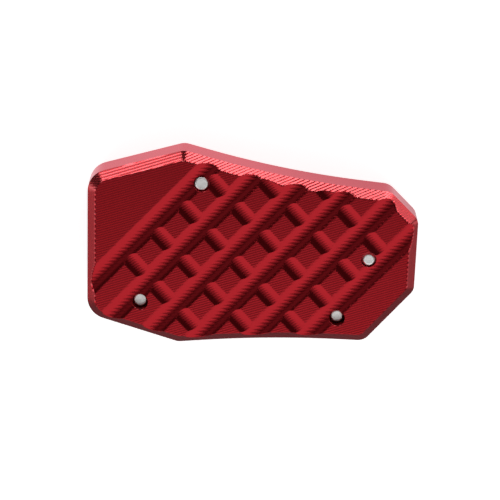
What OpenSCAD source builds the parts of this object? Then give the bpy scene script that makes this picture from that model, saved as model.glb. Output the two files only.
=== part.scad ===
// Foot enlarger for a kickstand: a milled tread plate and a horseshoe clamp plate that trap the
// stand's foot between them, held by four countersunk screws. It lies as it is shown, tread face
// up, on the clamp plate's flat face. +X runs along the plate, +Y towards the side where the leg
// of the stand comes out, and the origin is at the middle of the underside.

/* [Plate outline] */
// Length between the two end edges, before the corners are rounded
plate_l = 110.8; // [106:0.2:120]
// Width from the heel edge to the crown, before the corners are rounded
plate_w = 66.4; // [64:0.2:76]
// Lean of both end edges over their length
end_lean = 1.2; // [0:0.1:3]
// Long corner cut at the heel's left, along the plate
heel_cut_l = 30.3; // [20:0.1:34]
// The same cut, across the plate
heel_cut_w = 10.2; // [6:0.1:12]
// Corner cut at the heel's right, along the plate
toe_cut_l = 17.9; // [12:0.1:20]
// The same cut, across the plate
toe_cut_w = 17.6; // [12:0.1:20]
// Corner cut at the right end of the leg's side, along the plate
leg_cut_l = 9.2; // [6:0.1:12]
// The same cut, across the plate
leg_cut_w = 9.7; // [6:0.1:12]
// Distance of the crown from the left end edge
crown_at = 33.2; // [28:0.1:38]
// Fall of the edge from the crown to the left corner
left_fall = 8; // [4:0.1:10]
// Fall of the edge from the crown to the right corner
right_fall = 14.6; // [10:0.1:16]
// Hollow of the long edge on the leg's side
leg_hollow = 1.4; // [1:0.1:1.8]
// Hollow of the heel edge
heel_hollow = 0.9; // [0.6:0.1:1.2]
// Corner radius at the ends of the left edge
left_r = 7.5; // [4:0.5:9]
// Corner radius at the ends of the heel edge
heel_r = 4.5; // [3:0.5:8]
// Corner radius at the ends of the right edge
right_r = 4; // [3:0.5:6]
// Corner radius at the crown and at the end of its right slope
crown_r = 5.5; // [4:0.1:6]

/* [Tread plate] */
// Thickness of the tread plate
tread_t = 14; // [13.5:0.5:18]
// Width and height of the bevel round the tread face
bevel = 2.8; // [1.5:0.1:2.9]
// Small chamfer round the underside and on the clamp plate's upper edge
edge_chamfer = 0.5; // [0.3:0.1:1]

/* [Grooves] */
// Angle of the main grooves from the plate's length
groove_angle = 45; // [42:1:48]
// Distance between the main grooves, and between the rows of cross slots
groove_pitch = 12.8; // [12:0.1:14]
// Width of a main groove at the tread face
groove_w = 7; // [5:0.1:8]
// Depth of a main groove
groove_deep = 1.2; // [1:0.1:2]
// Place of the first groove, measured square to it from the plate's middle
groove_start = -29.8; // [-32:0.1:-28]
// Number of main grooves
groove_count = 6; // [4:1:6]
// Angle of the cross slots from the plate's length
cross_angle = -48.5; // [-52:0.5:-42]
// Depth of a cross slot
cross_deep = 0.7; // [0.5:0.1:1]
// Place of the first row of cross slots along the main grooves
cross_start = -32.5; // [-35:0.1:-31]

/* [Stand's foot] */
// Distance of the foot's pocket from the left end edge
foot_from_left = 25.4; // [24:0.2:27]
// Distance of the pocket from the right end edge
foot_from_right = 23.4; // [22:0.2:25]
// Distance of the pocket from the heel edge
foot_from_heel = 15.2; // [14:0.2:18]
// Distance of the pocket from the crown
foot_from_crown = 13.2; // [12.6:0.2:16]
// Depth of the pocket, for a foot of this thickness
foot_t = 4.5; // [4:0.5:6]
// Corner radius of the pocket
foot_r = 5; // [4:0.5:7]

/* [Clamp plate] */
// Thickness of the clamp plate
clamp_t = 5; // [4.5:0.5:7]
// Distance of its edge inside the tread plate's edge
clamp_inset = 2; // [1.6:0.1:2.4]
// Width of its hold on the rim of the foot
clamp_hold = 3; // [2:0.5:4]
// Distance of the opening for the leg of the stand from the end of the pocket's slanting edge
leg_from_slant = 8.4; // [7.4:0.2:12.4]
// Radius of its tip on the left of that opening
clamp_tip_r = 4; // [4:0.5:5]
// Chamfer on its outer edge
clamp_chamfer = 0.5; // [0.3:0.1:0.8]

/* [Screws] */
// Distance of the screw left of the leg from the left end edge
leg_left_in = 38.9; // [37.4:0.1:40]
// Distance of the same screw from the crown
leg_left_down = 11; // [10:0.1:11.2]
// Distance of the screw right of the leg from the right end edge
leg_right_in = 16.5; // [14:0.1:17]
// Distance of the same screw from the heel edge
leg_right_up = 29; // [26:0.1:32]
// Distance of the left screw on the heel's side from the left end edge
heel_left_in = 17.9; // [17:0.1:18.4]
// Distance of the same screw from the heel edge
heel_left_up = 14.8; // [14:0.1:20]
// Distance of the right screw on the heel's side from the right end edge
heel_right_in = 27; // [25:0.1:33]
// Distance of the same screw from the heel edge
heel_right_up = 8.7; // [8.4:0.1:9.4]
// Thread diameter
screw_d = 5; // [4:0.5:5]
// Length of the two screws beside the leg, over the head
long_screw = 18; // [14:1:18]
// Length of the two screws on the heel's side, over the head
short_screw = 16; // [12:1:18]
// Width across the flats of the hexagon socket
socket_w = 3; // [2.5:0.5:3]

/* [Hidden] */

// Segments of every circle in the preview mesh
$fn = 96;
anodised_red = [0.62, 0.06, 0.10];

// Parts of the pocket's length and width that its slanting edges at the toe and the crown take up
toe_slant_l = 0.125;
toe_slant_w = 0.25;
crown_slant_l = 0.3;
crown_slant_w = 0.4;

// How much a cutter runs past the face that it cuts
past = 1;
// Largest turn, and largest length, between two points of an outline's arc
arc_turn = 6;
arc_length = 5;
// Radii that round the two hollows in the long edges
leg_hollow_r = 330;
heel_hollow_r = 400;
// Radial room round a screw in its tapped hole, in the clamp plate and round its head
thread_room = 0.05;
shank_room = 0.25;
head_room = 0.1;
// Chamfer at the mouth of a tapped hole
tap_chamfer = 0.1;
// Head of a countersunk screw: widest radius, height of its rim, and its depth under the face
head_r = screw_d;
head_rim = 0.4;
head_sunk = 0.1;
// Point chamfer of a screw, and depth of its socket
tip_chamfer = 0.7;
socket_deep = 2;

tread_top = clamp_t + tread_t;
screw_r = screw_d / 2;
reach = plate_l + plate_w;

// One cutter radius gives a main groove its width and depth, and makes the shallower cross slots
cutter_r = (pow(groove_w / 2, 2) + pow(groove_deep, 2)) / (2 * groove_deep);

left_x = -plate_l / 2;
right_x = plate_l / 2;
heel_y = -plate_w / 2;
crown_y = plate_w / 2;
right_fall_y = crown_y - right_fall;

// The tread plate's corners, anticlockwise, each as [x, y, radius]
heel_left = [left_x + heel_cut_l, heel_y, heel_r];
heel_right = [right_x - toe_cut_l, heel_y, heel_r];
leg_right = [right_x - leg_cut_l, right_fall_y, crown_r];
crown = [left_x + crown_at, crown_y, crown_r];
PLATE = [
    [left_x, heel_y + heel_cut_w, left_r],
    heel_left,
    dent(heel_left, heel_right, heel_hollow, heel_hollow_r),
    heel_right,
    [right_x - end_lean, heel_y + toe_cut_w, right_r],
    [right_x, right_fall_y - leg_cut_w, right_r],
    leg_right,
    dent(leg_right, crown, leg_hollow, leg_hollow_r),
    crown,
    [left_x + end_lean, crown_y - left_fall, left_r]
];

// The sides of the foot's pocket
foot_left = left_x + foot_from_left;
foot_right = right_x - foot_from_right;
foot_heel = heel_y + foot_from_heel;
foot_leg = crown_y - foot_from_crown;
foot_l = foot_right - foot_left;
foot_w = foot_leg - foot_heel;
FOOT = [
    [foot_left, foot_heel, foot_r],
    [foot_right - toe_slant_l * foot_l, foot_heel, foot_r],
    [foot_right, foot_heel + toe_slant_w * foot_w, foot_r],
    [foot_right, foot_leg, foot_r],
    [foot_left + crown_slant_l * foot_l, foot_leg, foot_r],
    [foot_left, foot_leg - crown_slant_w * foot_w, foot_r]
];

// The clamp plate's opening before its inset: the foot's outline, carried on past the plate's edge
// where the leg comes out
leg_side_x = FOOT[4].x + leg_from_slant - clamp_hold;
leg_end_y = crown_y + foot_r + past;
OPENING = [
    FOOT[0],
    FOOT[1],
    FOOT[2],
    [foot_right, leg_end_y, foot_r],
    [leg_side_x, leg_end_y, foot_r],
    [leg_side_x, foot_leg, clamp_tip_r - clamp_hold],
    FOOT[4],
    FOOT[5]
];

LEG_SCREWS = [
    [left_x + leg_left_in, crown_y - leg_left_down],
    [right_x - leg_right_in, heel_y + leg_right_up]
];
HEEL_SCREWS = [
    [left_x + heel_left_in, heel_y + heel_left_up],
    [right_x - heel_right_in, heel_y + heel_right_up]
];
SCREWS = concat(LEG_SCREWS, HEEL_SCREWS);

// First and last strip of land, between two main grooves, that each row of cross slots crosses
CROSS_STRIPS = [[0, 2], [0, 3], [0, 4], [0, 4], [1, 4], [2, 4]];

// A shallow inward corner at the middle of an edge, which a large radius turns into a hollow
function dent(a, b, hollow, r) =
    let (
        along = unit([b.x - a.x, b.y - a.y]),
        middle = [a.x + b.x, a.y + b.y] / 2
    )
    concat(middle + 2 * hollow * left_of(along), r);

function unit(v) = v / norm(v);
function left_of(v) = [-v.y, v.x];
function turned(v, a) = [v.x * cos(a) - v.y * sin(a), v.x * sin(a) + v.y * cos(a)];
function place(corners, i) = let (c = corners[(i + len(corners)) % len(corners)]) [c.x, c.y];

// The arc that rounds corner i of an outline moved inwards by inset. The arcs of one corner are
// concentric, and have as many points whatever the inset is.
function corner_arc(corners, i, inset) =
    let (
        p = place(corners, i),
        come = unit(p - place(corners, i - 1)),
        go = unit(place(corners, i + 1) - p),
        turn = atan2(come.x * go.y - come.y * go.x, come * go),
        side = sign(turn),
        r = corners[i][2],
        n = left_of(come),
        middle = p + side * r / cos(turn / 2) * unit(n + left_of(go)),
        steps = ceil(max(abs(turn) / arc_turn, r * abs(turn) * PI / 180 / arc_length))
    )
    [for (k = [0 : steps]) middle - side * (r - side * inset) * turned(n, turn * k / steps)];

function outline(corners, inset = 0) =
    [for (i = [0 : len(corners) - 1]) each corner_arc(corners, i, inset)];

// Shift that brings the middle of the rounded tread plate's box to the origin
edge_points = outline(PLATE);
edge_x = [for (p = edge_points) p.x];
edge_y = [for (p = edge_points) p.y];
box_middle = [(min(edge_x) + max(edge_x)) / 2, (min(edge_y) + max(edge_y)) / 2, 0];

// A plate whose edge passes through levels, each as [height, inset]
module edged_plate(corners, levels) {
    loops = [for (l = levels) [for (p = outline(corners, l[1])) [p.x, p.y, l[0]]]];
    n = len(loops[0]);
    last = len(levels) - 1;
    polyhedron(
        points = [for (loop = loops) each loop],
        faces = concat(
            [[for (i = [0 : n - 1]) i]],
            [for (k = [0 : last - 1], i = [0 : n - 1])
                let (j = (i + 1) % n)
                [k * n + i, (k + 1) * n + i, (k + 1) * n + j, k * n + j]],
            [[for (i = [n - 1 : -1 : 0]) last * n + i]]
        )
    );
}

// A round-bottomed channel along +X, cut into the tread face
module channel(deep, from, to) {
    translate([from, 0, tread_top - deep + cutter_r])
        rotate([0, 90, 0])
            cylinder(r = cutter_r, h = to - from);
}

module main_grooves() {
    rotate(groove_angle)
        for (i = [0 : groove_count - 1])
            translate([0, -groove_start - groove_pitch * i, 0])
                channel(groove_deep, -reach / 2, reach / 2);
}

// Each row of cross slots is one channel that starts and ends in the middle of a main groove, so
// that it shows only where it crosses the lands between them
module cross_slots() {
    skew = groove_angle - cross_angle - 90;
    for (row = [0 : len(CROSS_STRIPS) - 1]) {
        from = groove_start + groove_pitch * CROSS_STRIPS[row][0];
        to = groove_start + groove_pitch * min(CROSS_STRIPS[row][1] + 1, groove_count - 1);
        rotate(groove_angle)
            translate([cross_start + groove_pitch * row, 0, 0])
                rotate(-90 - skew)
                    channel(cross_deep, from / cos(skew), to / cos(skew));
    }
}

module tapped_hole(at) {
    hole_r = screw_r + thread_room;
    flare = tap_chamfer + past;
    translate([at.x, at.y, clamp_t - past])
        cylinder(r = hole_r, h = tread_t + 2 * past);
    translate([at.x, at.y, tread_top - tap_chamfer])
        cylinder(r1 = hole_r, r2 = hole_r + flare, h = flare);
}

module tread_plate() {
    color(anodised_red)
        translate(-box_middle)
            difference() {
                edged_plate(PLATE, [
                    [clamp_t, edge_chamfer],
                    [clamp_t + edge_chamfer, 0],
                    [tread_top - bevel, 0],
                    [tread_top, bevel]
                ]);
                main_grooves();
                cross_slots();
                for (at = SCREWS) tapped_hole(at);
                translate([0, 0, clamp_t - past])
                    linear_extrude(foot_t + past)
                        polygon(outline(FOOT));
            }
}

module countersunk_hole(at) {
    hole_r = screw_r + shank_room;
    wide_r = head_r + head_room;
    rim_z = head_sunk + head_rim;
    translate([at.x, at.y, -past]) {
        cylinder(r = hole_r, h = clamp_t + 2 * past);
        cylinder(r = wide_r, h = rim_z + past);
    }
    translate([at.x, at.y, rim_z])
        cylinder(r1 = wide_r, r2 = hole_r, h = wide_r - hole_r);
}

module clamp_plate() {
    color(anodised_red)
        translate(-box_middle)
            difference() {
                edged_plate(PLATE, [
                    [0, clamp_inset + clamp_chamfer],
                    [clamp_chamfer, clamp_inset],
                    [clamp_t - edge_chamfer, clamp_inset],
                    [clamp_t, clamp_inset + edge_chamfer]
                ]);
                translate([0, 0, -past])
                    linear_extrude(clamp_t + 2 * past)
                        polygon(outline(OPENING, clamp_hold));
                for (at = SCREWS) countersunk_hole(at);
            }
}

// A countersunk screw that points up, its head in the clamp plate's lower face
module screw(at, long) {
    rim_z = head_sunk + head_rim;
    neck_z = rim_z + head_r - screw_r;
    tip_z = head_sunk + long;
    translate([at.x, at.y, 0])
        difference() {
            rotate_extrude()
                polygon([
                    [0, head_sunk],
                    [head_r, head_sunk],
                    [head_r, rim_z],
                    [screw_r, neck_z],
                    [screw_r, tip_z - tip_chamfer],
                    [screw_r - tip_chamfer, tip_z],
                    [0, tip_z]
                ]);
            translate([0, 0, head_sunk - past])
                cylinder(d = socket_w / cos(30), h = socket_deep + past, $fn = 6);
        }
}

module leg_side_screws() {
    color("silver") translate(-box_middle) for (at = LEG_SCREWS) screw(at, long_screw);
}

module heel_side_screws() {
    color("silver") translate(-box_middle) for (at = HEEL_SCREWS) screw(at, short_screw);
}

tread_plate();
clamp_plate();
leg_side_screws();
heel_side_screws();
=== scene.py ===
"""Foot enlarger for a kickstand: a red anodised tread plate, milled in one direction with a
ball-nosed cutter, on a horseshoe clamp plate, with the ends of four screws in its tapped holes.
Shapes are worked out in millimetres and become metres in the mesh."""

import math

import bpy
import numpy as np
from mathutils import Euler, Matrix, Vector
from mathutils.geometry import delaunay_2d_cdt


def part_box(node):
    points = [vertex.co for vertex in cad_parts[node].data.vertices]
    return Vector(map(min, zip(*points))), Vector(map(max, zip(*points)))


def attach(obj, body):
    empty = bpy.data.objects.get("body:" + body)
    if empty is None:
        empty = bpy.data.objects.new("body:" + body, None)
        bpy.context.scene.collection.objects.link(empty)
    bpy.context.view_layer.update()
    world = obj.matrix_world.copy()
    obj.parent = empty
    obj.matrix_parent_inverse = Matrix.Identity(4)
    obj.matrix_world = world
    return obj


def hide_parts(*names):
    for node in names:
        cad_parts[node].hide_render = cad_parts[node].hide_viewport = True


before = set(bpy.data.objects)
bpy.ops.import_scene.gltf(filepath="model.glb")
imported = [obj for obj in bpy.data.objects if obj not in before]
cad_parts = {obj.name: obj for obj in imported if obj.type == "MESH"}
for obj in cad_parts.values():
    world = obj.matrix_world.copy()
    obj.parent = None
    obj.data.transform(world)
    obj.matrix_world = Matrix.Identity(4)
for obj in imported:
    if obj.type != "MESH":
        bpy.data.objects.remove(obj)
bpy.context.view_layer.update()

bl_info = {
    "name": "Kickstand Foot Enlarger",
    "version": (1, 0, 0),
    "blender": (4, 5, 0),
    "location": "View3D > Sidebar > Foot Enlarger",
    "description": "Builds a milled kickstand foot plate, its screws and its studio",
    "category": "Add Mesh",
}

MM = 0.001

# The tread plate's own sizes, as in the CAD model
TREAD_LOW, TREAD_TOP = (corner.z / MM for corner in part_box("tread_plate"))
PLATE_L, PLATE_W = 110.8, 66.4
BEVEL = 2.8
EDGE_CHAMFER = 0.5
LEFT, RIGHT = -PLATE_L / 2, PLATE_L / 2
HEEL, CROWN = -PLATE_W / 2, PLATE_W / 2
END_LEAN = 1.2
HEEL_CUT = (30.3, 10.2)
TOE_CUT = (17.9, 17.6)
LEG_CUT = (9.2, 9.7)
CROWN_AT = 33.2
LEFT_FALL, RIGHT_FALL = 8.0, 14.6
LEG_HOLLOW, HEEL_HOLLOW = 1.4, 0.9
LEG_HOLLOW_R, HEEL_HOLLOW_R = 330.0, 400.0
LEFT_R, HEEL_R, RIGHT_R, CROWN_R = 7.5, 4.5, 4.0, 5.5

# Main grooves and the rows of cross slots
GROOVE_ANGLE = math.radians(45)
GROOVE_PITCH = 12.8
GROOVE_W, GROOVE_DEEP = 7.0, 1.2
GROOVE_START = -29.8
GROOVE_COUNT = 6
CROSS_ANGLE = math.radians(-48.5)
CROSS_DEEP = 0.7
CROSS_START = -32.5
CROSS_STRIPS = ((0, 2), (0, 3), (0, 4), (0, 4), (1, 4), (2, 4))
CHANNEL_R = ((GROOVE_W / 2) ** 2 + GROOVE_DEEP**2) / (2 * GROOVE_DEEP)

# The foot's pocket in the hidden side
FOOT_L, FOOT_W, FOOT_T, FOOT_R = 62.0, 38.0, 4.5, 5.0
FOOT_X, FOOT_Y = 1.0, 1.0
TOE_SLANT = (0.125, 0.25)
CROWN_SLANT = (0.3, 0.4)

# Screws: each one's place across the plate, the chamfer at its tip and its CAD node. Then the
# sizes that they share.
SCREWS = {
    "leg_left_screw": ((-16.5, 22.2), 0.45, "leg_side_screws"),
    "leg_right_screw": ((38.9, -4.2), 0.75, "leg_side_screws"),
    "heel_left_screw": ((-37.5, -18.4), 0.45, "heel_side_screws"),
    "heel_right_screw": ((28.4, -24.5), 0.6, "heel_side_screws"),
}
SCREW_R = 2.5
THREAD_ROOM = 0.05
HEAD_R, HEAD_RIM, HEAD_BREAK = 5.0, 0.4, 0.1
SOCKET_W, SOCKET_DEEP, SOCKET_FLARE = 3.0, 2.0, 0.15
TAP_CHAMFER = 0.1

# The drilled cone in a socket's floor: its share of the socket's width, and its depth
DRILL_SHARE, DRILL_DEEP = 0.8, 0.5

# Each rounded edge of a screw's tip, as how far it goes in and how far it rises. Then the width of
# the rim round the tip's face, from the chamfer in, and the depth of the hollow inside it.
TIP_SHOULDER = (0.15, 0.1)
TIP_EDGE = (0.12, 0.06)
TIP_RIM, TIP_HOLLOW = 0.35, 0.05

# Turns without a thread at the top of a tapped hole and over a screw's neck, and the share of its
# depth that a screw's thread still has where its tip begins
BORE_THREAD_START = 1.5
SCREW_THREAD_START = 0.4
SCREW_THREAD_LEFT = 0.4

# How the meshes are divided
ARC_TURN = math.radians(6)
ARC_LENGTH = 5.0
EDGE_STEP = 0.3
POCKET_STEP = 1.0
BORE_SIDES = SCREW_SIDES = 48
RINGS_PER_TURN = 6
POLE_R = 0.02
MERGE_DISTANCE = 1e-6
SHARP_ANGLE = math.radians(30)


class TreadSettings(bpy.types.PropertyGroup):
    """How the tread face is milled."""

    raster_angle: bpy.props.FloatProperty(
        name="Raster angle",
        description="Direction of the cutter's passes, from the plate's length",
        default=math.radians(16),
        unit="ROTATION",
    )
    raster_pitch: bpy.props.FloatProperty(
        name="Raster pitch",
        description="Distance between two passes",
        default=0.778 * MM,
        unit="LENGTH",
    )
    ball_radius: bpy.props.FloatProperty(
        name="Ball radius",
        description="Radius of the ball-nosed cutter",
        default=3.5 * MM,
        unit="LENGTH",
    )
    rows_per_pass: bpy.props.IntProperty(
        name="Rows per pass",
        description="Rows of mesh points for each pass of the cutter",
        default=6,
    )
    column_step: bpy.props.FloatProperty(
        name="Column step",
        description="Distance of the mesh points along a pass",
        default=0.5 * MM,
        unit="LENGTH",
    )


class ThreadSettings(bpy.types.PropertyGroup):
    """The threads of the screws and of their holes."""

    pitch: bpy.props.FloatProperty(
        name="Thread pitch",
        description="Rise of the thread in one turn",
        default=0.8 * MM,
        unit="LENGTH",
    )
    depth: bpy.props.FloatProperty(
        name="Thread depth",
        description="Depth of the thread in a screw and in its hole",
        default=0.4 * MM,
        unit="LENGTH",
    )


class FinishSettings(bpy.types.PropertyGroup):
    """Colours and finishes."""

    anodised: bpy.props.FloatVectorProperty(
        name="Anodised colour",
        description="Colour of the anodised aluminium",
        subtype="COLOR",
        default=(0.36, 0.015, 0.021),
    )
    steel: bpy.props.FloatVectorProperty(
        name="Steel colour",
        description="Colour of the screws",
        subtype="COLOR",
        default=(0.92, 0.91, 0.89),
    )


class StageSettings(bpy.types.PropertyGroup):
    """Camera and studio."""

    camera_tilt: bpy.props.FloatProperty(
        name="Camera tilt",
        description="Tilt of the camera from the vertical, towards the leg's side",
        default=math.radians(16.5),
        unit="ROTATION",
    )
    camera_roll: bpy.props.FloatProperty(
        name="Camera roll",
        description="Turn of the camera about its own axis",
        default=math.radians(-0.3),
        unit="ROTATION",
    )
    camera_distance: bpy.props.FloatProperty(
        name="Camera distance",
        description="Distance of the camera from the plate, along its view",
        default=830 * MM,
        unit="LENGTH",
    )
    floor: bpy.props.FloatVectorProperty(
        name="Floor colour",
        description="Colour of the floor for all but the camera",
        subtype="COLOR",
        default=(0.42, 0.42, 0.42),
    )


def unit(v):
    return v / np.linalg.norm(v)


def left_of(v):
    return np.array([-v[1], v[0]])


def turned(v, angles):
    """The vector v turned by each of an array of angles."""
    c, s = np.cos(angles), np.sin(angles)
    return np.stack([v[0] * c - v[1] * s, v[0] * s + v[1] * c], axis=-1)


def dent(a, b, hollow, r):
    """A shallow inward corner at the middle of the edge from a to b, which a large radius turns
    into a hollow."""
    a, b = np.array(a[:2]), np.array(b[:2])
    middle = (a + b) / 2 + 2 * hollow * left_of(unit(b - a))
    return (*middle, r)


def plate_corners():
    """The tread plate's corners, anticlockwise, each as x, y and radius."""
    heel_left = (LEFT + HEEL_CUT[0], HEEL, HEEL_R)
    heel_right = (RIGHT - TOE_CUT[0], HEEL, HEEL_R)
    leg_right = (RIGHT - LEG_CUT[0], CROWN - RIGHT_FALL, CROWN_R)
    crown = (LEFT + CROWN_AT, CROWN, CROWN_R)
    return (
        (LEFT, HEEL + HEEL_CUT[1], LEFT_R),
        heel_left,
        dent(heel_left, heel_right, HEEL_HOLLOW, HEEL_HOLLOW_R),
        heel_right,
        (RIGHT - END_LEAN, HEEL + TOE_CUT[1], RIGHT_R),
        (RIGHT, CROWN - RIGHT_FALL - LEG_CUT[1], RIGHT_R),
        leg_right,
        dent(leg_right, crown, LEG_HOLLOW, LEG_HOLLOW_R),
        crown,
        (LEFT + END_LEAN, CROWN - LEFT_FALL, LEFT_R),
    )


def foot_corners():
    """The corners of the foot's pocket, anticlockwise, each as x, y and radius."""
    left, right = FOOT_X - FOOT_L / 2, FOOT_X + FOOT_L / 2
    heel, leg = FOOT_Y - FOOT_W / 2, FOOT_Y + FOOT_W / 2
    return (
        (left, heel, FOOT_R),
        (right - TOE_SLANT[0] * FOOT_L, heel, FOOT_R),
        (right, heel + TOE_SLANT[1] * FOOT_W, FOOT_R),
        (right, leg, FOOT_R),
        (left + CROWN_SLANT[0] * FOOT_L, leg, FOOT_R),
        (left, leg - CROWN_SLANT[1] * FOOT_W, FOOT_R),
    )


def rounded(corners, inset=0.0):
    """Corner points of an outline whose corners are rounded, moved inwards by inset. The middle of
    each arc stands r / cos(half the turn) from its corner on the bisector, and the arcs of one
    corner are concentric, with as many points whatever the inset is."""
    places = np.array([c[:2] for c in corners])
    arcs = []
    for i, (_, _, r) in enumerate(corners):
        come = unit(places[i] - places[i - 1])
        go = unit(places[(i + 1) % len(corners)] - places[i])
        turn = math.atan2(come[0] * go[1] - come[1] * go[0], come @ go)
        side = math.copysign(1, turn)
        start = left_of(come)
        middle = places[i] + side * r / math.cos(turn / 2) * unit(start + left_of(go))
        steps = math.ceil(max(abs(turn) / ARC_TURN, r * abs(turn) / ARC_LENGTH))
        angles = turn * np.linspace(0, 1, steps + 1)
        arcs.append(middle - side * (r - side * inset) * turned(start, angles))
    return np.concatenate(arcs)


EDGE_POINTS = rounded(plate_corners())
BOX_MIDDLE = (EDGE_POINTS.min(axis=0) + EDGE_POINTS.max(axis=0)) / 2


def even_loop(corners, inset, step):
    """Points at even steps along a rounded outline. They stand at the same shares of its arcs and
    edges for every inset, so that loops with different insets pair up point by point."""
    base = rounded(corners)
    base = np.vstack([base, base[:1]])
    along = np.concatenate([[0], np.cumsum(np.linalg.norm(np.diff(base, axis=0), axis=1))])
    count = round(along[-1] / step)
    at = np.interp(
        np.arange(count) * along[-1] / count, along, np.arange(len(base))
    )
    inner = rounded(corners, inset)
    inner = np.vstack([inner, inner[:1]])
    index = np.arange(len(base))
    return np.stack([np.interp(at, index, inner[:, k]) for k in (0, 1)], axis=-1)


def circle(middle, r, sides):
    """A circle's points, anticlockwise."""
    return np.array(middle) + r * turned((1, 0), np.arange(sides) * math.tau / sides)


def depth_inside(x, y, loop):
    """Distance of each point from a closed loop's nearest edge, positive inside it. Inside is
    where a line towards +X meets an odd number of edges."""
    nearest = np.full(x.shape, np.inf)
    inside = np.zeros(x.shape, bool)
    for (ax, ay), (bx, by) in zip(loop, np.roll(loop, -1, axis=0)):
        ex, ey = bx - ax, by - ay
        share = np.clip(((x - ax) * ex + (y - ay) * ey) / (ex**2 + ey**2), 0, 1)
        nearest = np.minimum(
            nearest, (x - ax - share * ex) ** 2 + (y - ay - share * ey) ** 2
        )
        if ey:
            inside ^= ((ay > y) != (by > y)) & (x < ax + ex * (y - ay) / ey)
    return np.where(inside, 1, -1) * np.sqrt(nearest)


def channel(off, deep):
    """Height of a round-bottomed channel in the tread face at a distance off its middle line: its
    cutter's axis less the cutter's circle, and nothing past the cutter's radius."""
    under = np.sqrt(np.maximum(CHANNEL_R**2 - off**2, 0))
    axis = TREAD_TOP - deep + CHANNEL_R
    return np.where(np.abs(off) < CHANNEL_R, axis - under, np.inf)


def drawn_height(x, y, depth):
    """The tread face as drawn: the lowest of the flat top, a bevel that rises as much as it goes
    in from the plate's edge, the main grooves and the rows of cross slots."""
    height = np.minimum(TREAD_TOP, TREAD_TOP - BEVEL + depth)
    across = x * math.sin(GROOVE_ANGLE) - y * math.cos(GROOVE_ANGLE)
    for i in range(GROOVE_COUNT):
        off = across - GROOVE_START - GROOVE_PITCH * i
        height = np.minimum(height, channel(off, GROOVE_DEEP))
    skew = math.cos(GROOVE_ANGLE - CROSS_ANGLE - math.pi / 2)
    for row, (first, last) in enumerate(CROSS_STRIPS):
        start = CROSS_START + GROOVE_PITCH * row
        dx = x - start * math.cos(GROOVE_ANGLE)
        dy = y - start * math.sin(GROOVE_ANGLE)
        along = dx * math.cos(CROSS_ANGLE) + dy * math.sin(CROSS_ANGLE)
        off = dy * math.cos(CROSS_ANGLE) - dx * math.sin(CROSS_ANGLE)
        begin = (GROOVE_START + GROOVE_PITCH * first) / skew
        end = (GROOVE_START + GROOVE_PITCH * min(last + 1, GROOVE_COUNT - 1)) / skew
        within = (along > begin) & (along < end)
        height = np.where(within, np.minimum(height, channel(off, CROSS_DEEP)), height)
    return height


def ball_drops(ball, row_step, column_step):
    """Row offset, column offset and height over the ball's middle of its surface, for every grid
    point under the ball."""
    rows, columns = int(ball / row_step), int(ball / column_step)
    for i in range(-rows, rows + 1):
        for j in range(-columns, columns + 1):
            rest = ball**2 - (i * row_step) ** 2 - (j * column_step) ** 2
            if rest > 0:
                yield i, j, math.sqrt(rest)


def milled_height(drawn, ball, row_step, column_step, rows_per_pass):
    """What a ball-nosed cutter leaves when it runs along every rows_per_pass-th row. On a pass the
    ball's middle is as low as it goes without cutting into the drawn face: the highest sum of
    the face and the ball's own height over each point under it. The milled face is the lowest
    reach of the ball over all its places."""
    rows, columns = drawn.shape
    pad_i, pad_j = int(ball / row_step), int(ball / column_step)
    wide = np.pad(drawn, ((pad_i, pad_i), (pad_j, pad_j)), mode="edge")
    middle = np.full((-(-rows // rows_per_pass), columns), -np.inf)
    for i, j, high in ball_drops(ball, row_step, column_step):
        under = wide[
            pad_i + i : pad_i + i + rows : rows_per_pass, pad_j + j : pad_j + j + columns
        ]
        np.maximum(middle, under + high, out=middle)
    middle = np.pad(middle, ((0, 0), (pad_j, pad_j)), mode="edge")
    face = np.full((rows + 2 * pad_i, columns), np.inf)
    for i, j, high in ball_drops(ball, row_step, column_step):
        cut = face[pad_i + i : pad_i + i + rows : rows_per_pass]
        np.minimum(cut, middle[:, pad_j + j : pad_j + j + columns] - high, out=cut)
    return face[pad_i : pad_i + rows]


class MilledFace:
    """The milled tread face as heights on a grid whose rows run along the cutter's passes. Its
    columns stand twice as close as the mesh's points."""

    def __init__(self, settings):
        self.row_step = settings.raster_pitch / MM / settings.rows_per_pass
        self.column_step = settings.column_step / MM / 2
        self.angle = settings.raster_angle
        ball = settings.ball_radius / MM
        reach_u, reach_w = self.turn(EDGE_POINTS[:, 0], EDGE_POINTS[:, 1])
        self.u = np.arange(reach_u.min() - 2 * ball, reach_u.max() + 2 * ball, self.column_step)
        self.w = np.arange(reach_w.min() - 2 * ball, reach_w.max() + 2 * ball, self.row_step)
        u, w = np.meshgrid(self.u, self.w)
        self.x, self.y = self.turn(u, w, back=True)
        self.depth = depth_inside(self.x, self.y, EDGE_POINTS)
        # The cutter goes deeper by the height of the cusps between its passes, so that those
        # reach up to the drawn face
        cusp = ball - math.sqrt(ball**2 - (settings.raster_pitch / MM / 2) ** 2)
        self.height = milled_height(
            drawn_height(self.x, self.y, self.depth) - cusp,
            ball,
            self.row_step,
            self.column_step,
            settings.rows_per_pass,
        )

    def turn(self, x, y, back=False):
        """Plate coordinates to those along and across the passes, or back."""
        c, s = math.cos(self.angle), math.sin(self.angle)
        if back:
            return x * c - y * s, x * s + y * c
        return x * c + y * s, y * c - x * s

    def at(self, points):
        """Height at any points, in equal parts from the four grid points round each one."""
        u, w = self.turn(points[:, 0], points[:, 1])
        j, i = (u - self.u[0]) / self.column_step, (w - self.w[0]) / self.row_step
        j0, i0 = np.floor(j).astype(int), np.floor(i).astype(int)
        fj, fi = j - j0, i - i0
        h = self.height
        low = h[i0, j0] * (1 - fj) + h[i0, j0 + 1] * fj
        high = h[i0 + 1, j0] * (1 - fj) + h[i0 + 1, j0 + 1] * fj
        return low * (1 - fi) + high * fi


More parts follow.
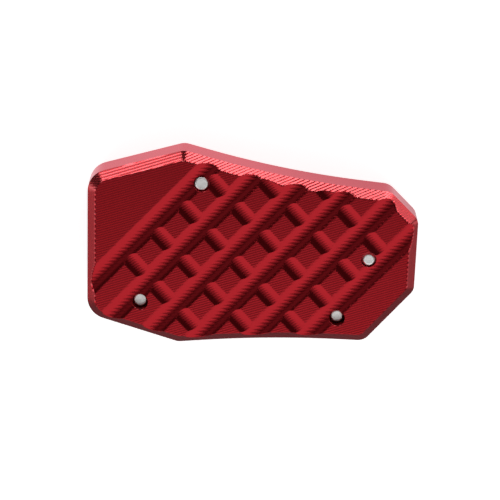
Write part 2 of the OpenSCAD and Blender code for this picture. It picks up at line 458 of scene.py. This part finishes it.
class Shell:
    """Points and triangles of one closed surface, put together from loops and filled faces."""

    def __init__(self):
        self.points, self.triangles, self.smooth, self.creases = [], [], [], []
        self.count = 0

    def add(self, xy, z, crease=False):
        """Adds points at a height, or at one height each, and returns their numbers. A crease is
        a closed loop along which the shading breaks."""
        z = np.broadcast_to(z, len(xy))
        self.points.append(np.column_stack([xy, z]))
        numbers = np.arange(self.count, self.count + len(xy))
        self.count += len(xy)
        if crease:
            self.creases.append(numbers)
        return numbers

    def band(self, upper, lower):
        """Triangles between two loops of as many points. It faces outwards where both run
        anticlockwise round solid material and upper is on top."""
        a, b = upper, np.roll(upper, -1)
        c, d = lower, np.roll(lower, -1)
        self.triangles += [np.column_stack([a, c, d]), np.column_stack([a, d, b])]
        self.smooth.append(np.ones(2 * len(a), bool))

    def fill(self, outer, holes=(), loose=(), flip=False):
        """Delaunay triangles inside a loop and outside the holes, through the loose points too. A
        triangle on the wrong side of a loop has all three corners on it, and runs the other way
        round than the outer loop, or the same way as a hole. All are shaded flat, which keeps
        the cutter's marks crisp."""
        loops = [outer, *holes]
        numbers = np.concatenate([*loops, *loose])
        xy = np.concatenate(self.points)[numbers, :2]
        edges, start = [], 0
        for loop in loops:
            own = np.arange(start, start + len(loop))
            edges.append(np.column_stack([own, np.roll(own, -1)]))
            start += len(loop)
        inside_only = 1
        result = delaunay_2d_cdt(
            xy.tolist(), np.concatenate(edges).tolist(), [], inside_only, MERGE_DISTANCE, True
        )
        origin = np.array([o[0] for o in result[3]])
        found = numbers[origin][np.array(result[2])]
        keep = np.ones(len(found), bool)
        for loop in loops:
            place = np.full(self.count, -1)
            place[loop] = np.arange(len(loop))
            place = place[found]
            own = (place >= 0).all(axis=1)
            same_way = (place < np.roll(place, -1, axis=1)).sum(axis=1) == 2
            keep[own] = same_way[own] == (loop is outer)
        found = found[keep]
        self.triangles.append(found[:, ::-1] if flip else found)
        self.smooth.append(np.zeros(len(found), bool))

    def mesh(self, name):
        """The mesh, in metres and moved to the object's own frame."""
        points = np.concatenate(self.points)
        points[:, :2] -= BOX_MIDDLE
        triangles, smooth = np.concatenate(self.triangles), np.concatenate(self.smooth)
        return new_mesh(name, points, triangles, smooth, self.creases)


def new_mesh(name, points, triangles, smooth=True, creases=()):
    """A mesh from points in millimetres and triangles. The edges between two points of one crease
    are sharp."""
    mesh = bpy.data.meshes.new(name)
    mesh.vertices.add(len(points))
    mesh.vertices.foreach_set("co", (points * MM).ravel())
    mesh.loops.add(triangles.size)
    mesh.loops.foreach_set("vertex_index", triangles.astype(np.int32).ravel())
    mesh.polygons.add(len(triangles))
    mesh.polygons.foreach_set("loop_start", np.arange(0, triangles.size, 3, dtype=np.int32))
    mesh.polygons.foreach_set("use_smooth", np.full(len(triangles), smooth))
    mesh.update(calc_edges=True)
    mesh.validate()
    if creases:
        ring = np.zeros(len(points), int)
        for number, loop in enumerate(creases, 1):
            ring[loop] = number
        ends = np.empty(2 * len(mesh.edges), np.int32)
        mesh.edges.foreach_get("vertices", ends)
        a, b = ring[ends.reshape(-1, 2)].T
        sharp = mesh.attributes.new("sharp_edge", "BOOLEAN", "EDGE")
        sharp.data.foreach_set("value", (a > 0) & (a == b))
    return mesh


def add_piece(mesh, material, node):
    """Puts a finished mesh into the scene as a piece that stands for a CAD node."""
    piece = bpy.data.objects.new(mesh.name, mesh)
    bpy.context.scene.collection.objects.link(piece)
    mesh.materials.append(material)
    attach(piece, "root")
    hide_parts(node)


def screw_tip(node):
    """Height of a screw's tip, from the top of its CAD node."""
    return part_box(node)[1].z / MM


def thread_wave(z, turns, pitch):
    """Swing of a thread between 0 and 1 and back once a pitch, which turns with the height: a
    triangle wave of the height in pitches less the share of a turn."""
    return np.abs(2 * ((z / pitch - turns) % 1) - 1)


def tapped_bore(shell, face, middle, tip, thread):
    """A hole through the plate. From its mouth on the milled face it narrows by a small chamfer.
    Down to the screw's tip its radius is the hole's, less the thread's depth times its wave. The
    thread starts BORE_THREAD_START turns down and reaches its depth over one more. Below the
    tip the hole is plain. Returns the numbers of its mouth and of its foot."""
    hole_r = SCREW_R + THREAD_ROOM
    pitch, depth = thread.pitch / MM, thread.depth / MM
    mouth_xy = circle(middle, hole_r + TAP_CHAMFER, BORE_SIDES)
    mouth_z = face.at(mouth_xy)
    mouth = shell.add(mouth_xy, mouth_z, crease=True)
    throat_z = mouth_z - TAP_CHAMFER
    last = shell.add(circle(middle, hole_r, BORE_SIDES), throat_z)
    shell.band(last, mouth)
    turns = np.arange(BORE_SIDES) / BORE_SIDES
    deep = throat_z.min() - tip
    around = circle((0, 0), 1, BORE_SIDES)
    count = max(2, math.ceil(deep / pitch * RINGS_PER_TURN))
    for share in np.linspace(0, 1, count)[1:]:
        z = throat_z + (tip - throat_z) * share
        fade = np.clip(deep * share / pitch - BORE_THREAD_START, 0, 1)
        r = hole_r - depth * fade * thread_wave(z, turns, pitch)
        ring = shell.add(np.array(middle) + around * r[:, None], z)
        shell.band(ring, last)
        last = ring
    plain = shell.add(circle(middle, hole_r, BORE_SIDES), tip - THREAD_ROOM)
    shell.band(plain, last)
    foot = shell.add(circle(middle, hole_r, BORE_SIDES), TREAD_LOW, crease=True)
    shell.band(foot, plain)
    return mouth, foot


def tread_mesh(settings, thread):
    """The whole tread plate as one closed surface: the milled face over the points of its grid,
    the wall under it, a small chamfer, the underside with the foot's pocket, and the tapped
    holes from face to underside."""
    face = MilledFace(settings)
    shell = Shell()
    plate = plate_corners()
    rim_xy = even_loop(plate, 0, EDGE_STEP)
    rim = shell.add(rim_xy, face.at(rim_xy), crease=True)
    wall = shell.add(rim_xy, TREAD_LOW + EDGE_CHAMFER, crease=True)
    sole = shell.add(even_loop(plate, EDGE_CHAMFER, EDGE_STEP), TREAD_LOW, crease=True)
    shell.band(rim, wall)
    shell.band(wall, sole)
    mouths, feet = [], []
    off_holes = np.ones(face.x.shape, bool)
    for middle, _, node in SCREWS.values():
        mouth, foot = tapped_bore(shell, face, middle, screw_tip(node), thread)
        mouths.append(mouth)
        feet.append(foot)
        clear = SCREW_R + THREAD_ROOM + TAP_CHAMFER + EDGE_STEP / 2
        off_holes &= np.hypot(face.x - middle[0], face.y - middle[1]) > clear
    kept = off_holes & (face.depth > EDGE_STEP / 2)
    kept[:, 1::2] = False
    inner = shell.add(np.column_stack([face.x[kept], face.y[kept]]), face.height[kept])
    shell.fill(rim, mouths, [inner])
    pocket_xy = even_loop(foot_corners(), 0, POCKET_STEP)
    pocket_rim = shell.add(pocket_xy, TREAD_LOW, crease=True)
    pocket_floor = shell.add(pocket_xy, TREAD_LOW + FOOT_T, crease=True)
    shell.fill(sole, [pocket_rim, *feet], flip=True)
    shell.band(pocket_rim, pocket_floor)
    shell.fill(pocket_floor, flip=True)
    return shell.mesh("milled_tread_plate")


def screw_mesh(name, middle, chamfer, low, tip, thread):
    """A countersunk screw as rings of points from the socket's floor up to the tip. The socket's
    rings are hexagons: half its width over the cosine of the angle from the nearest flat. The
    shank's radius is the screw's, less the thread's depth times its wave."""
    turns = np.arange(SCREW_SIDES) / SCREW_SIDES
    angles = turns * math.tau
    from_flat = (angles + math.pi / 6) % (math.pi / 3) - math.pi / 6
    hexagon = SOCKET_W / 2 / np.cos(from_flat)
    ones = np.ones(SCREW_SIDES)
    neck = low + HEAD_RIM + HEAD_R - SCREW_R
    rings = [
        (POLE_R * ones, low + SOCKET_DEEP + DRILL_DEEP),
        (DRILL_SHARE * hexagon, low + SOCKET_DEEP),
        (hexagon, low + SOCKET_DEEP),
        (hexagon, low + SOCKET_FLARE),
        (hexagon + SOCKET_FLARE, low),
        ((HEAD_R - HEAD_BREAK) * ones, low),
        (HEAD_R * ones, low + HEAD_BREAK),
        (HEAD_R * ones, low + HEAD_RIM),
        (SCREW_R * ones, neck),
    ]
    pitch, depth = thread.pitch / MM, thread.depth / MM
    shoulder = tip - chamfer
    for z in np.arange(neck + pitch / 2, shoulder, pitch / RINGS_PER_TURN):
        start = (z - neck) / pitch - SCREW_THREAD_START
        end = (shoulder - z) / pitch + SCREW_THREAD_LEFT
        fade = min(1, start, end)
        rings.append((SCREW_R - depth * fade * thread_wave(z, turns, pitch), z))
    tip_r = SCREW_R - chamfer
    rings += [
        ((SCREW_R - TIP_SHOULDER[0]) * ones, shoulder + TIP_SHOULDER[1]),
        (tip_r * ones, tip - TIP_EDGE[1]),
        ((tip_r - TIP_EDGE[0]) * ones, tip),
        ((tip_r - TIP_RIM) * ones, tip),
        (POLE_R * ones, tip - TIP_HOLLOW),
    ]
    radii = np.array([r for r, _ in rings])
    heights = np.array([z for _, z in rings])
    x = middle[0] - BOX_MIDDLE[0] + radii * np.cos(angles)
    y = middle[1] - BOX_MIDDLE[1] + radii * np.sin(angles)
    z = np.broadcast_to(heights[:, None], radii.shape)
    points = np.stack([x, y, z], axis=-1).reshape(-1, 3)
    ring = np.arange(len(rings) * SCREW_SIDES).reshape(len(rings), SCREW_SIDES)
    a, b = ring[:-1], ring[1:]
    sides = np.stack([a, np.roll(a, -1, 1), np.roll(b, -1, 1), b], axis=-1).reshape(-1, 4)
    ends = [len(points), len(points) + 1]
    poles = np.array([points[:SCREW_SIDES].mean(axis=0), points[-SCREW_SIDES:].mean(axis=0)])
    first, last = ring[0], ring[-1]
    fans = [
        np.stack([np.full(SCREW_SIDES, ends[0]), np.roll(first, -1), first], axis=-1),
        np.stack([np.full(SCREW_SIDES, ends[1]), last, np.roll(last, -1)], axis=-1),
    ]
    triangles = np.concatenate([sides[:, [0, 1, 2]], sides[:, [0, 2, 3]], *fans])
    mesh = new_mesh(name, np.vstack([points, poles]), triangles)
    mesh.set_sharp_from_angle(angle=SHARP_ANGLE)
    return mesh


class Socket:
    """A node's output, or an input's link, with arithmetic. Each operator adds a Math node."""

    def __init__(self, tree, socket):
        self.tree, self.socket = tree, socket

    def maths(self, operation, *values):
        return self.tree.node("ShaderNodeMath", {"operation": operation}, dict(enumerate(values)))

    def __add__(self, other):
        return self.maths("ADD", self, other)

    def __sub__(self, other):
        return self.maths("SUBTRACT", self, other)

    def __rsub__(self, other):
        return self.maths("SUBTRACT", other, self)

    def __mul__(self, other):
        return self.maths("MULTIPLY", self, other)

    def __abs__(self):
        return self.maths("ABSOLUTE", self)

    __radd__ = __add__
    __rmul__ = __mul__


class Tree:
    """A material's or the world's nodes, emptied."""

    def __init__(self, owner):
        owner.use_nodes = True
        self.nodes, self.links = owner.node_tree.nodes, owner.node_tree.links
        self.nodes.clear()

    def node(self, kind, settings=None, inputs=None, output=0):
        """Adds a node with its settings and the values or links of its sockets, and returns one
        of its outputs."""
        node = self.nodes.new(kind)
        for name, value in (settings or {}).items():
            setattr(node, name, value)
        for name, value in (inputs or {}).items():
            if isinstance(value, Socket):
                self.links.new(value.socket, node.inputs[name])
            else:
                node.inputs[name].default_value = value
        return Socket(self, node.outputs[output]) if node.outputs else node


# Z of the bevel's normal, the distances from it where the clear coat starts to fade and is gone,
# and the coat's weight. The coat lies on the bevel alone, as a painted highlight.
BEVEL_NORMAL_Z = 0.69
HIGHLIGHT_COAT_FADE = (0.06, 0.12)
HIGHLIGHT_COAT_WEIGHT = 0.5


def anodised_material(finish):
    """Red anodised aluminium: metal with a satin grain. The bevel, where the normal's Z is near
    that of a 45 degree slope, has a clear coat over it which the rest lacks: a painted highlight
    that makes the bevel's reflections of the lamps paler and brighter."""
    material = bpy.data.materials.new("anodised_aluminium")
    tree = Tree(material)
    place = tree.node("ShaderNodeTexCoord", output="Object")
    grain = tree.node(
        "ShaderNodeTexNoise", None, {"Vector": place, "Scale": 2200.0, "Detail": 2.0}
    )
    bump = tree.node(
        "ShaderNodeBump", None, {"Strength": 0.15, "Distance": 0.00003, "Height": grain}
    )
    normal = tree.node("ShaderNodeTexCoord", output="Normal")
    z = tree.node("ShaderNodeSeparateXYZ", None, {"Vector": normal}, output="Z")
    # Painted highlight: the clear coat's weight is full near the bevel's slope and none elsewhere
    bevel_highlight_coat = tree.node(
        "ShaderNodeMapRange",
        None,
        {
            "Value": abs(z - BEVEL_NORMAL_Z),
            "From Min": HIGHLIGHT_COAT_FADE[0],
            "From Max": HIGHLIGHT_COAT_FADE[1],
            "To Min": HIGHLIGHT_COAT_WEIGHT,
            "To Max": 0.0,
        },
    )
    surface = tree.node(
        "ShaderNodeBsdfPrincipled",
        None,
        {
            "Base Color": (*finish.anodised, 1),
            "Metallic": 1.0,
            "Roughness": 0.2,
            "Coat Weight": bevel_highlight_coat,
            "Coat Roughness": 0.1,
            "Coat IOR": 1.7,
            "Specular Tint": (1.0, 0.66, 0.71, 1),
            "Normal": bump,
        },
    )
    tree.node("ShaderNodeOutputMaterial", None, {"Surface": surface})
    return material


def steel_material(finish):
    """Stainless steel with a fine, uneven sheen, from one noise in its roughness and bump."""
    material = bpy.data.materials.new("stainless_steel")
    tree = Tree(material)
    place = tree.node("ShaderNodeTexCoord", output="Object")
    cloud = tree.node(
        "ShaderNodeTexNoise", None, {"Vector": place, "Scale": 900.0, "Detail": 3.0}
    )
    bump = tree.node(
        "ShaderNodeBump", None, {"Strength": 0.5, "Distance": 0.0001, "Height": cloud}
    )
    surface = tree.node(
        "ShaderNodeBsdfPrincipled",
        None,
        {
            "Base Color": (*finish.steel, 1),
            "Metallic": 1.0,
            "Roughness": 0.34 + 0.15 * cloud,
            "Normal": bump,
        },
    )
    tree.node("ShaderNodeOutputMaterial", None, {"Surface": surface})
    return material


def finish_of(context, name, make):
    """The named material, made on its first use."""
    return bpy.data.materials.get(name) or make(context.scene.foot_finish)


class FOOT_OT_tread_plate(bpy.types.Operator):
    """Build the milled tread plate"""

    bl_idname = "foot_enlarger.tread_plate"
    bl_label = "Tread Plate"

    def execute(self, context):
        scene = context.scene
        material = finish_of(context, "anodised_aluminium", anodised_material)
        mesh = tread_mesh(scene.foot_tread, scene.foot_thread)
        add_piece(mesh, material, "tread_plate")
        return {"FINISHED"}


class FOOT_OT_clamp_plate(bpy.types.Operator):
    """Give the clamp plate its anodised finish"""

    bl_idname = "foot_enlarger.clamp_plate"
    bl_label = "Clamp Plate"

    def execute(self, context):
        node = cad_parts["clamp_plate"]
        node.data.materials.clear()
        node.data.materials.append(finish_of(context, "anodised_aluminium", anodised_material))
        return {"FINISHED"}


class FOOT_OT_screws(bpy.types.Operator):
    """Build the four countersunk screws"""

    bl_idname = "foot_enlarger.screws"
    bl_label = "Screws"

    def execute(self, context):
        material = finish_of(context, "stainless_steel", steel_material)
        for name, (middle, chamfer, node) in SCREWS.items():
            low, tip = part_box(node)[0].z / MM, screw_tip(node)
            mesh = screw_mesh(name, middle, chamfer, low, tip, context.scene.foot_thread)
            add_piece(mesh, material, node)
        return {"FINISHED"}


class FOOT_OT_stage(bpy.types.Operator):
    """Build the floor, the lamps and the camera"""

    bl_idname = "foot_enlarger.stage"
    bl_label = "Stage"

    def execute(self, context):
        stage = context.scene.foot_stage
        add_floor(stage)
        add_lamps()
        add_world()
        add_camera(stage)
        context.scene.view_settings.view_transform = "Standard"
        return {"FINISHED"}


# The floor: half its side, how far it lies under the clamp plate, its colour and glow for the
# camera, and the glow that the object mirrors, which rises between two places along Y
FLOOR_HALF = 1.5
FLOOR_DROP = 0.02 * MM
CAMERA_FLOOR = (0.8, 0.8, 0.8, 1)
CAMERA_GLOW = 0.72
MIRROR_GLOW = 1.2
MIRROR_GLOW_FROM, MIRROR_GLOW_TO = -20 * MM, 30 * MM


def add_floor(stage):
    """A wide square floor just under the clamp plate. The camera sees it white: it is paler there
    and gives a light of its own, so that only the deepest of the object's shadow shows."""
    mesh = bpy.data.meshes.new("floor")
    corners = ((-1, -1), (1, -1), (1, 1), (-1, 1))
    points = [(x * FLOOR_HALF, y * FLOOR_HALF, -FLOOR_DROP) for x, y in corners]
    mesh.from_pydata(points, [], [(0, 1, 2, 3)])
    floor = bpy.data.objects.new("floor", mesh)
    bpy.context.scene.collection.objects.link(floor)
    material = bpy.data.materials.new("white_floor")
    tree = Tree(material)
    seen = tree.node("ShaderNodeLightPath", output="Is Camera Ray")
    mirrored = tree.node("ShaderNodeLightPath", output="Is Glossy Ray")
    place = tree.node("ShaderNodeTexCoord", output="Object")
    y = tree.node("ShaderNodeSeparateXYZ", None, {"Vector": place}, output="Y")
    behind = tree.node(
        "ShaderNodeMapRange",
        None,
        {"Value": y, "From Min": MIRROR_GLOW_FROM, "From Max": MIRROR_GLOW_TO},
    )
    factor, first, second, blend = 0, 6, 7, 2
    shade = tree.node(
        "ShaderNodeMix",
        {"data_type": "RGBA"},
        {factor: seen, first: (*stage.floor, 1), second: CAMERA_FLOOR},
        blend,
    )
    lit = tree.node("ShaderNodeBsdfDiffuse", None, {"Color": shade})
    strength = CAMERA_GLOW * seen + MIRROR_GLOW * mirrored * behind
    glow = tree.node("ShaderNodeEmission", None, {"Strength": strength})
    both = tree.node("ShaderNodeAddShader", None, {0: lit, 1: glow})
    tree.node("ShaderNodeOutputMaterial", None, {"Surface": both})
    mesh.materials.append(material)


# Each lamp: name, azimuth from +X, elevation, distance, width, height and radiance
LAMPS = (
    ("far_left_window", 118, 19, 0.9, 0.42, 0.6, 1.15),
    ("far_left_strip", 118, 18, 0.88, 0.42, 0.15, 5),
    ("far_right_window", 45, 19, 0.9, 1.08, 0.6, 1.15),
    ("far_right_strip", 52, 18, 0.88, 0.78, 0.18, 5),
    ("front_panel", 270, 36.5, 0.9, 1.8, 1.1, 1.08),
    ("top_panel", 270, 78, 0.9, 0.6, 0.28, 0.35),
    ("left_ceiling", 155, 57, 0.9, 0.5, 0.4, 0.2),
    ("left_panel", 194, 8, 0.9, 0.6, 0.3, 2.0),
    ("right_panel", -14, 8, 0.9, 0.6, 0.3, 1.65),
)


def add_lamps():
    """Flat rectangular lamps that face the object from all round."""
    for name, azimuth, elevation, distance, width, height, radiance in LAMPS:
        light = bpy.data.lights.new(name, "AREA")
        light.shape = "RECTANGLE"
        light.size, light.size_y = width, height
        light.energy = radiance * math.pi * width * height
        lamp = bpy.data.objects.new(name, light)
        a, e = math.radians(azimuth), math.radians(elevation)
        back = Vector((math.cos(a) * math.cos(e), math.sin(a) * math.cos(e), math.sin(e)))
        lamp.location = back * distance
        lamp.rotation_euler = (-back).to_track_quat("-Z", "Y").to_euler()
        bpy.context.scene.collection.objects.link(lamp)


ROOM_STRENGTH = 0.08


def add_world():
    """A dim grey room."""
    world = bpy.data.worlds.new("room")
    tree = Tree(world)
    room = tree.node(
        "ShaderNodeBackground", None, {"Color": (1, 1, 1, 1), "Strength": ROOM_STRENGTH}
    )
    tree.node("ShaderNodeOutputWorld", None, {"Surface": room})
    bpy.context.scene.world = world


# The point that the camera was fitted on, in the object's frame, and its place in a photograph of
# IMAGE_SIDE pixels, at PIXELS_PER_MM where that point is
AIM = (0.173, 0.236, 16.2)
AIM_PIXEL = (252.5, 246)
IMAGE_SIDE = 500
PIXELS_PER_MM = 3.0


def add_camera(stage):
    """A long lens, tilted from the vertical towards the leg's side. Its focal length gives
    PIXELS_PER_MM at the aim, and it is moved across so that the aim shows at AIM_PIXEL."""
    data = bpy.data.cameras.new("camera")
    camera = bpy.data.objects.new("camera", data)
    distance = stage.camera_distance / MM
    data.lens = data.sensor_width * distance * PIXELS_PER_MM / IMAGE_SIDE
    turn = Euler((-stage.camera_tilt, 0, 0)).to_matrix() @ Matrix.Rotation(
        stage.camera_roll, 3, "Z"
    )
    right = (IMAGE_SIDE / 2 - AIM_PIXEL[0]) / PIXELS_PER_MM
    up = (AIM_PIXEL[1] - IMAGE_SIDE / 2) / PIXELS_PER_MM
    camera.location = (Vector(AIM) + turn @ Vector((right, up, distance))) * MM
    camera.rotation_euler = turn.to_euler()
    bpy.context.scene.collection.objects.link(camera)
    bpy.context.scene.camera = camera


class FOOT_PT_panel(bpy.types.Panel):
    """Buttons and settings"""

    bl_idname = "FOOT_PT_panel"
    bl_label = "Foot Enlarger"
    bl_space_type = "VIEW_3D"
    bl_region_type = "UI"
    bl_category = "Foot Enlarger"

    def draw(self, context):
        for operator in OPERATORS:
            self.layout.operator(operator.bl_idname)
        for name in SETTINGS:
            group = getattr(context.scene, name)
            box = self.layout.box()
            for prop in group.bl_rna.properties:
                if prop.identifier not in ("rna_type", "name"):
                    box.prop(group, prop.identifier)


SETTINGS = {
    "foot_tread": TreadSettings,
    "foot_thread": ThreadSettings,
    "foot_finish": FinishSettings,
    "foot_stage": StageSettings,
}
OPERATORS = (FOOT_OT_tread_plate, FOOT_OT_clamp_plate, FOOT_OT_screws, FOOT_OT_stage)


def register():
    for cls in (*SETTINGS.values(), *OPERATORS, FOOT_PT_panel):
        bpy.utils.register_class(cls)
    for name, cls in SETTINGS.items():
        setattr(bpy.types.Scene, name, bpy.props.PointerProperty(type=cls))


def unregister():
    for name in SETTINGS:
        delattr(bpy.types.Scene, name)
    for cls in reversed((*SETTINGS.values(), *OPERATORS, FOOT_PT_panel)):
        bpy.utils.unregister_class(cls)


def main():
    register()
    bpy.ops.foot_enlarger.tread_plate()
    bpy.ops.foot_enlarger.clamp_plate()
    bpy.ops.foot_enlarger.screws()
    bpy.ops.foot_enlarger.stage()


if __name__ == "__main__":
    main()
